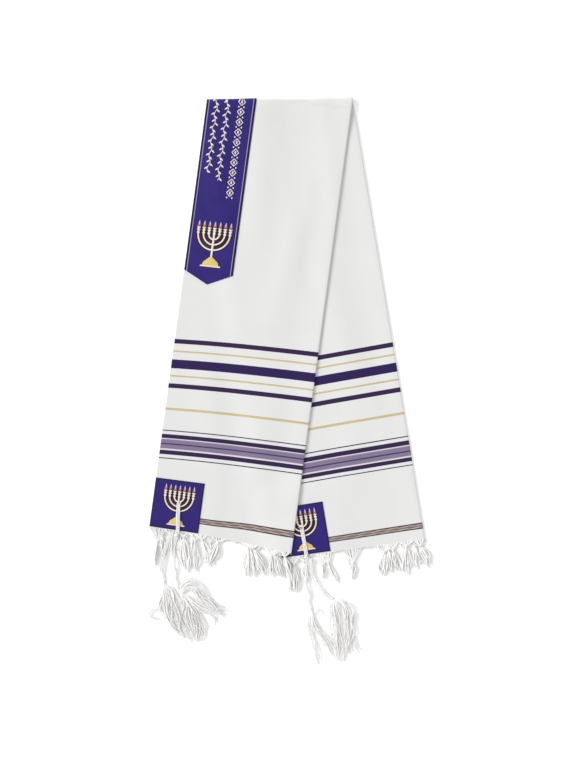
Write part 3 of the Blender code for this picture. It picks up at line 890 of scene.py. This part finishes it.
def add_neckband(material):
    across = np.linspace(0, BAND_WIDTH, round(BAND_WIDTH / BAND_CELL) + 1)
    from_middle = np.abs(across - BAND_WIDTH / 2) / (BAND_WIDTH / 2)
    front_end, back_end = (
        slanted(flat_u(across), tip + (side - tip) * from_middle)[1]
        for side, tip in ((BAND_FRONT_SIDE, BAND_FRONT_TIP), (-BAND_BACK_SIDE, -BAND_BACK_TIP))
    )
    rows = strip_rows(front_end, back_end, 1.5 * BAND_CELL)
    from_end = np.where(rows > 0, front_end - rows, rows - back_end)
    from_end = np.where(np.abs(rows) < NECK_ARC, BAND_FRONT_SIDE, from_end)
    flat = (across, from_end)
    band = add_sheet("neckband_satin", material, row_point, across, rows, TRIM_FACES, flat)
    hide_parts("neckband")
    return band


def layer_place(end, upper):
    """A function from side and hem distances on one layer of an end to the flat cloth's coordinates."""
    on_near_layer = (end == "front") == upper

    def flat_at(side, hem):
        across = side if on_near_layer else CLOTH_WIDTH - side
        along = hem if end == "front" else CLOTH_LENGTH - hem
        return across, along

    return flat_at


def add_patch(end, layer, material):
    side = np.linspace(0, PATCH_WIDTH, round(PATCH_WIDTH / BAND_CELL) + 1)
    hem = np.linspace(0, PATCH_LENGTH, round(PATCH_LENGTH / BAND_CELL) + 1)
    side, hem = np.meshgrid(side, hem)
    across, along = layer_place(end, layer == "upper")(side, PATCH_INSET + hem)
    name = f"patch_{end}_{layer}"
    flat = (side, hem)
    patch = add_sheet(name + "_satin", material, cloth_point, across, along, TRIM_FACES, flat)
    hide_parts(name)
    return patch


CREAM_PART, GOLD_PART, PLUM_PART, FLAME_PART, TIP_PART = range(5)
# The lamp's upright forms. A row is a height, in HEAD_UNIT or light spacings, and a width in light spacings.
HEAD_UNIT = 0.0103
HEAD = 2.27
CUP = (
    (-0.15, 0.29), (0.0, 0.54), (0.16, 0.54), (0.26, 0.28), (0.38, 0.28), (0.5, 0.6), (0.66, 0.6),
    (0.74, 0.3), (0.84, 0.3), (0.94, 0.62), (1.14, 0.66),
)
FLAME = ((1.18, 0.34), (1.34, 0.58), (1.6, 0.54), (1.85, 0.36), (2.0, 0.2))
FLAME_TIP = ((1.42, 0.16), (1.6, 0.24), (1.85, 0.32), (2.3, 0.08))
HEAD_FORMS = ((CUP, CREAM_PART, 0.0008), (FLAME, FLAME_PART, 0.0006), (FLAME_TIP, TIP_PART, 0.0007))
BASE = (
    (0.0, 3.7), (0.05, 3.8), (0.2, 3.8), (0.28, 3.2), (0.47, 3.0), (0.85, 2.75), (1.15, 2.3),
    (1.24, 1.75), (1.46, 1.6), (1.58, 1.0), (1.8, 0.84),
)
PLINTH = ((-1.9, 0.13), (0.0, 0.13), (1.9, 0.13))
ARM = 0.29
BACKING = 0.00022
RAISED = 0.00018  # the base of what lies on the dark backing
PATCH_LAMP = (0.0091, 0.080)  # spacing of its lights, and height
PATCH_FOOT = (0.0495, 0.0115)  # side and hem distances of the lamp's foot on a patch
EYELETS = {"front": (0.051, 0.057), "back": (0.046, 0.059)}
EYELET_RADIUS = 0.0031


def upright(profile, x, base, spacing, unit):
    rows = np.array(profile)
    path = np.column_stack([np.full(len(rows), x), base + rows[:, 0] * unit])
    return path, rows[:, 1] * spacing


def lamp_parts(spacing, height, at):
    """A plain seven-branched lamp stand as ridges: its arms, cups, flames, stem and stepped base.
    Its foot's middle is at the origin of the plane that `at` places."""
    centre = height - HEAD * HEAD_UNIT
    parts = []

    def arc(radius, top):
        turn = np.linspace(math.pi, 2 * math.pi, 29)
        bow = np.column_stack([radius * np.cos(turn), centre + radius * np.sin(turn)])
        ends = [[(way * radius, centre + share * top) for share in (1.0, 0.5)] for way in (-1, 1)]
        return np.concatenate([ends[0], bow, ends[1][::-1]])

    def add(path, widths, rise, number, foot=RAISED):
        parts.append(ridge_part(path, widths, rise, at, number, foot))

    for k, width in ((0.5, 1.04), (1.5, 1.04), (2.5, 1.04), (3, 0.72)):
        add(arc(k * spacing, 1.6 * HEAD_UNIT), width * spacing, BACKING, PLUM_PART, 0.0)
    for k in (1, 2, 3):
        add(arc(k * spacing, HEAD_UNIT), ARM * spacing, 0.0006, CREAM_PART)
    stem = [(0.0, 1.6 * spacing), (0.0, centre - 1.5 * spacing), (0.0, centre + 0.4 * spacing)]
    add(stem, 0.5 * spacing, BACKING, PLUM_PART, 0.0)
    add(stem, 0.36 * spacing, 0.0007, CREAM_PART)
    path, widths = upright(BASE, 0.0, 0.0, spacing, spacing)
    add(path, widths + 0.16 * spacing, BACKING, PLUM_PART, 0.0)
    add(path, widths, 0.0007, GOLD_PART)
    add(np.array(PLINTH) * spacing, 0.26 * spacing, 0.0009, CREAM_PART)
    for k in range(-3, 4):
        for profile, number, rise in HEAD_FORMS:
            path, widths = upright(profile, k * spacing, centre, spacing, HEAD_UNIT)
            add(path, widths, rise, number)
    return parts


def lamp_on_patch(end, layer, materials):
    """The lamp stand on a patch, and the stitched eyelet that its corner cord leaves by."""
    flat_at = layer_place(end, layer == "upper")

    def at(x, y, rise):
        across, along = flat_at(PATCH_FOOT[0] + x, PATCH_FOOT[1] + y)
        return settled(cloth_point(across, along, TRIM_OUT + rise))

    parts = lamp_parts(*PATCH_LAMP, at)
    turn = np.linspace(0, 2 * math.pi, 25)
    ring = EYELET_RADIUS * np.column_stack([np.cos(turn), np.sin(turn)])
    hole = np.array(EYELETS[end]) - PATCH_FOOT
    parts.append(ridge_part(ring + hole, 0.0016, 0.0013, at, CREAM_PART, RAISED))
    return add_mesh(f"patch_{end}_{layer}_lamp", parts, materials, sharp=40)


VINES = ((0.0200, 0.157), (0.0415, 0.170))  # side of the stem, and its reach past the neck fold
VINE_PITCH = 0.026
VINE_SWAY = 0.0020
VINE_STEM = 0.0013
VINE_LEAF = 0.0080
LEAF_TURN = 52
CHAIN = (0.0680, 0.209)
CHAIN_PITCH = 0.0195
BAND_LAMP = (0.0103, 0.087)
BAND_LAMP_AT = 0.3366  # from the neck fold to the foot of the front's lamp


def add_band_ornament(materials):
    """Two leafy vines, a chain of lozenges and dots, and a lamp stand near each end, on the neckband."""
    parts = []

    def on_band(x, y, rise):
        """x from the neck edge, y along from the neck fold towards the front end."""
        return settled(cloth_point(x, FRONT_LENGTH - y, TRIM_OUT + rise))

    def add(path, widths):
        parts.append(ridge_part(path, widths, 0.0005, on_band, CREAM_PART))

    def add_leaf(x, y, length, angle=90, fullness=0.4):
        s = np.linspace(0, 1, 6)
        way = np.array([math.cos(math.radians(angle)), math.sin(math.radians(angle))])
        widths = length * fullness * np.sin(math.pi * (s * 0.9 + 0.05))
        add(np.array([x, y]) + way * length * s[:, None], widths)

    for side, reach in VINES:
        y = np.linspace(-reach, reach, 161)
        sway = VINE_SWAY * np.sin(2 * math.pi * y / VINE_PITCH)
        add(np.column_stack([side + sway, y]), VINE_STEM)
        for i, at_y in enumerate(np.arange(-reach + 0.004, reach - 0.004, VINE_PITCH / 4)):
            at_x = side + VINE_SWAY * math.sin(2 * math.pi * at_y / VINE_PITCH)
            add_leaf(at_x, at_y, VINE_LEAF, 90 - (LEAF_TURN if i % 2 else -LEAF_TURN))
    side, reach = CHAIN
    corners = np.array([(0, -0.0072), (0.0066, 0), (0, 0.0072), (-0.0066, 0), (0, -0.0072)])
    edges = [np.linspace(here, after, 5)[:-1] for here, after in zip(corners, corners[1:])]
    lozenge = np.concatenate([*edges, corners[:1]])
    for at_y in np.arange(-reach + CHAIN_PITCH / 2, reach, CHAIN_PITCH):
        add(lozenge + (side, at_y), 0.0017)
        add_leaf(side, at_y - 0.0034, 0.0068, fullness=0.5)
        for offset in (-0.0050, 0.0050):
            add_leaf(side + offset, at_y + CHAIN_PITCH / 2 - 0.0018, 0.0036, fullness=0.8)
    for foot, way in ((FRONT_LENGTH - BAND_LAMP_AT, 1), (BACK_LENGTH + BAND_LAMP_AT, -1)):

        def at(x, y, rise, foot=foot, way=way):
            return settled(cloth_point(BAND_WIDTH / 2 + 0.001 + x, foot + way * y, TRIM_OUT + rise))

        parts += lamp_parts(*BAND_LAMP, at)
    return add_mesh("neckband_ornament", parts, materials, sharp=40)


def kept_up(paths, radius):
    """The paths, kept a strand's radius and a little more off the surface."""
    paths[..., 2] = np.maximum(paths[..., 2], radius * 1.15)
    return paths


def surface_under(end, flat):
    """The height of what the fringe past a hem lies on."""
    if end == "back":
        return np.zeros(flat.shape[:-1])
    _, back_top, patch_lift, on_back = bed(flat[..., 0], NECK_ARC - flat[..., 1])
    return (back_top + LAYER_GAP + patch_lift) * on_back


def downward(degrees):
    """A level unit vector that leans to the right of straight down."""
    return np.array([math.sin(math.radians(degrees)), -math.cos(math.radians(degrees))])


def root_paths(random, root_at, side, knot, sideways):
    """Threads from a stretch of the hem to a tassel's knot."""
    paths = []
    for i in range(ROOTS):
        offset = (i / (ROOTS - 1) - 0.5) * 2 * ROOT_SPREAD + random.uniform(-ROOT_JITTER, ROOT_JITTER)
        start = root_at(np.clip(side + offset, EDGE_GAP, FLAT_WIDTH - EDGE_GAP), 0.0015)
        s = np.linspace(0, 1, 6)[:, None]
        path = start * (1 - s) + knot * s
        path[:, :2] += sideways * (ROOT_BOW * np.sin(math.pi * s)) * random.uniform(-1, 1)
        path[:, 2] += 0.0008 * np.sin(math.pi * s[:, 0])
        paths.append(path)
    return paths


def tassel_paths(random, end, upper, knot, length, heading, splay, count):
    """A tassel's loose strands, from its knot."""
    sideways = np.array([-heading[1], heading[0]])
    s = np.linspace(0, 1, len(STRAND_TAPER))
    paths = []
    for i in range(count):
        share = (i + 0.5) / count * 2 - 1 + random.uniform(-0.1, 0.1)
        reach = length * random.uniform(0.78, 1.06) * (1.04 - 0.16 * share**2)
        bulge = splay * share * (np.sin(math.pi * s**0.85 * 0.86) + random.uniform(-0.1, 0.35) * s**2)
        phase, waves = random.random(), random.uniform(0.5, 1.4)
        sway = random.uniform(*TASSEL_SWAY) * np.sin(2 * math.pi * (s * waves + phase)) * s
        flat = knot[:2] + heading * (reach * s)[:, None] + sideways * (bulge + sway)[:, None]
        top = TASSEL_HEAP * math.sqrt(max(0.0, 1 - share**2)) * random.uniform(0.1, 1.0)
        top += UPPER_RISE * upper
        z = TASSEL_STRAND + 0.0002 + top * np.sin(math.pi * (0.3 + 0.65 * s)) ** 0.8
        z += surface_under(end, flat)
        z[0] = knot[2]
        paths.append(np.column_stack([flat, z]))
    return paths


def fray_paths(random, end):
    """Short single threads all along a hem."""
    paths = []
    for i in range(round(CLOTH_WIDTH / FRAY_STEP)):
        across = np.clip((i + random.random()) * FRAY_STEP, EDGE_GAP, CLOTH_WIDTH - EDGE_GAP)
        start = cloth_point(across, 0.0012 if end == "front" else CLOTH_LENGTH - 0.0012, WALL / 2)
        way = downward(random.uniform(-FRAY_LEAN, FRAY_LEAN))
        s = np.linspace(0, 1, 4)
        flat = start[:2] + way * (random.uniform(*FRAY_LENGTH) * s)[:, None]
        paths.append(np.column_stack([flat, start[2] * (1 - 0.3 * s)]))
    return paths


def add_fringe(end, yarn):
    """The knotted tassels and short frayed threads of one end."""
    random = np.random.default_rng(11 if end == "front" else 23)
    roots, strands, knots = [], [], []
    for layer, tassels in FRINGE_TASSELS[end].items():
        upper = layer == "top"
        flat_at = layer_place(end, upper)

        def root_at(side, hem, flat_at=flat_at):
            return cloth_point(*flat_at(side, hem), WALL / 2)

        for side, knot_past, reach, lean, splay, count in tassels:
            heading = downward(lean)
            knot_flat = root_at(side * MM, 0.0)[:2] + heading * knot_past * MM
            knot = np.append(knot_flat, surface_under(end, knot_flat) + KNOT_STACK[layer])
            roots += root_paths(random, root_at, side * MM, knot, np.array([-heading[1], heading[0]]))
            length = (reach - knot_past) * MM
            strands += tassel_paths(random, end, upper, knot, length, heading, splay * MM, count)
            knots.append(knot_paths(knot + (0, 0, 0.0003), np.append(heading, 0.0), TASSEL_KNOT, 48))
    parts = [
        tube_parts(kept_up(settled(np.array(paths)), radius), radius * taper, sides)
        for paths, radius, taper, sides in (
            (roots, ROOT_STRAND, 1.0, 5),
            (strands, TASSEL_STRAND, STRAND_TAPER, 6),
            (knots, KNOT_STRAND, 1.0, 5),
            (fray_paths(random, end), FRAY_STRAND, 1.0, 3),
        )
    ]
    fringe = add_mesh("fringe_" + end + "_tassels", parts, [yarn])
    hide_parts("fringe_" + end)
    return fringe


def add_floor():
    mesh = bpy.data.meshes.new("floor")
    signs = ((-1, -1), (1, -1), (1, 1), (-1, 1))
    mesh.from_pydata([(FLOOR_HALF * x, FLOOR_HALF * y, FLOOR_Z) for x, y in signs], [], [(0, 1, 2, 3)])
    mesh.materials.append(floor_material())
    put("floor", mesh)


def add_light():
    """A white sky and one broad soft key from the upper left."""
    world = bpy.data.worlds.new("world")
    world.use_nodes = True
    sky = world.node_tree.nodes["Background"].inputs
    sky["Color"].default_value = WHITE
    sky["Strength"].default_value = SKY
    bpy.context.scene.world = world
    data = bpy.data.lights.new("key", "SUN")
    data.energy = KEY
    data.angle = math.radians(KEY_SPREAD)
    light = put("key", data)
    light.rotation_euler = (0.0, math.radians(-KEY_TILT), math.radians(-KEY_HEADING))
    bpy.context.scene.view_settings.view_transform = "Standard"


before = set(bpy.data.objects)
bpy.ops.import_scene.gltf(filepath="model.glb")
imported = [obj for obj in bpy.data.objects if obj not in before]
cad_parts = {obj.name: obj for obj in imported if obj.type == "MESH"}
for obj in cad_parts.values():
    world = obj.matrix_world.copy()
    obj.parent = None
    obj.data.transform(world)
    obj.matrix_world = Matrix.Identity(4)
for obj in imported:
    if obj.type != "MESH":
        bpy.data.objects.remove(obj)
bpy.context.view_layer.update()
SHIFT = find_shift()

add_camera()
# Two copies of one yarn that differ only in painted light: the fringe's strands get darker painted shade on
# their sides and underside and a stronger painted highlight on top.
CORD_YARN = yarn_material("white_yarn", 0.74, 0.15)
FRINGE_YARN_DEEP_SHADE = yarn_material("fringe_yarn_deep_shade", 0.60, 0.34)
for cord_corner in CORD_ROUTES:
    add_tzitzit(cord_corner, CORD_YARN)

shawl = add_shawl(cloth_material())
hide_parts("shawl_front", "shawl_back")
# Each thread: its colour on the stitch crests, then the darker colour painted as shade in the grooves between
# its stitches.
THREADS = [
    stitch_material("cream_thread", (250, 244, 232), (240, 224, 192)),
    stitch_material("gold_thread", (240, 224, 142), (216, 184, 86), 0.1),
    stitch_material("plum_thread", (58, 30, 62), (34, 16, 40)),
    stitch_material("flame_thread", (178, 122, 136), (146, 94, 110)),
    stitch_material("pale_thread", (236, 220, 230), (198, 172, 204)),
]
trim = [
    add_neckband(satin_material("neckband_satin", BAND_WIDTH, None, True)),
    add_band_ornament(THREADS),
]
patch_satin = satin_material("patch_satin", PATCH_WIDTH, PATCH_LENGTH, False)
for patch_end in ("front", "back"):
    for patch_layer in ("upper", "lower"):
        trim.append(add_patch(patch_end, patch_layer, patch_satin))
        trim.append(lamp_on_patch(patch_end, patch_layer, THREADS))
trim += [add_fringe("front", FRINGE_YARN_DEEP_SHADE), add_fringe("back", FRINGE_YARN_DEEP_SHADE)]

add_floor()
add_light()
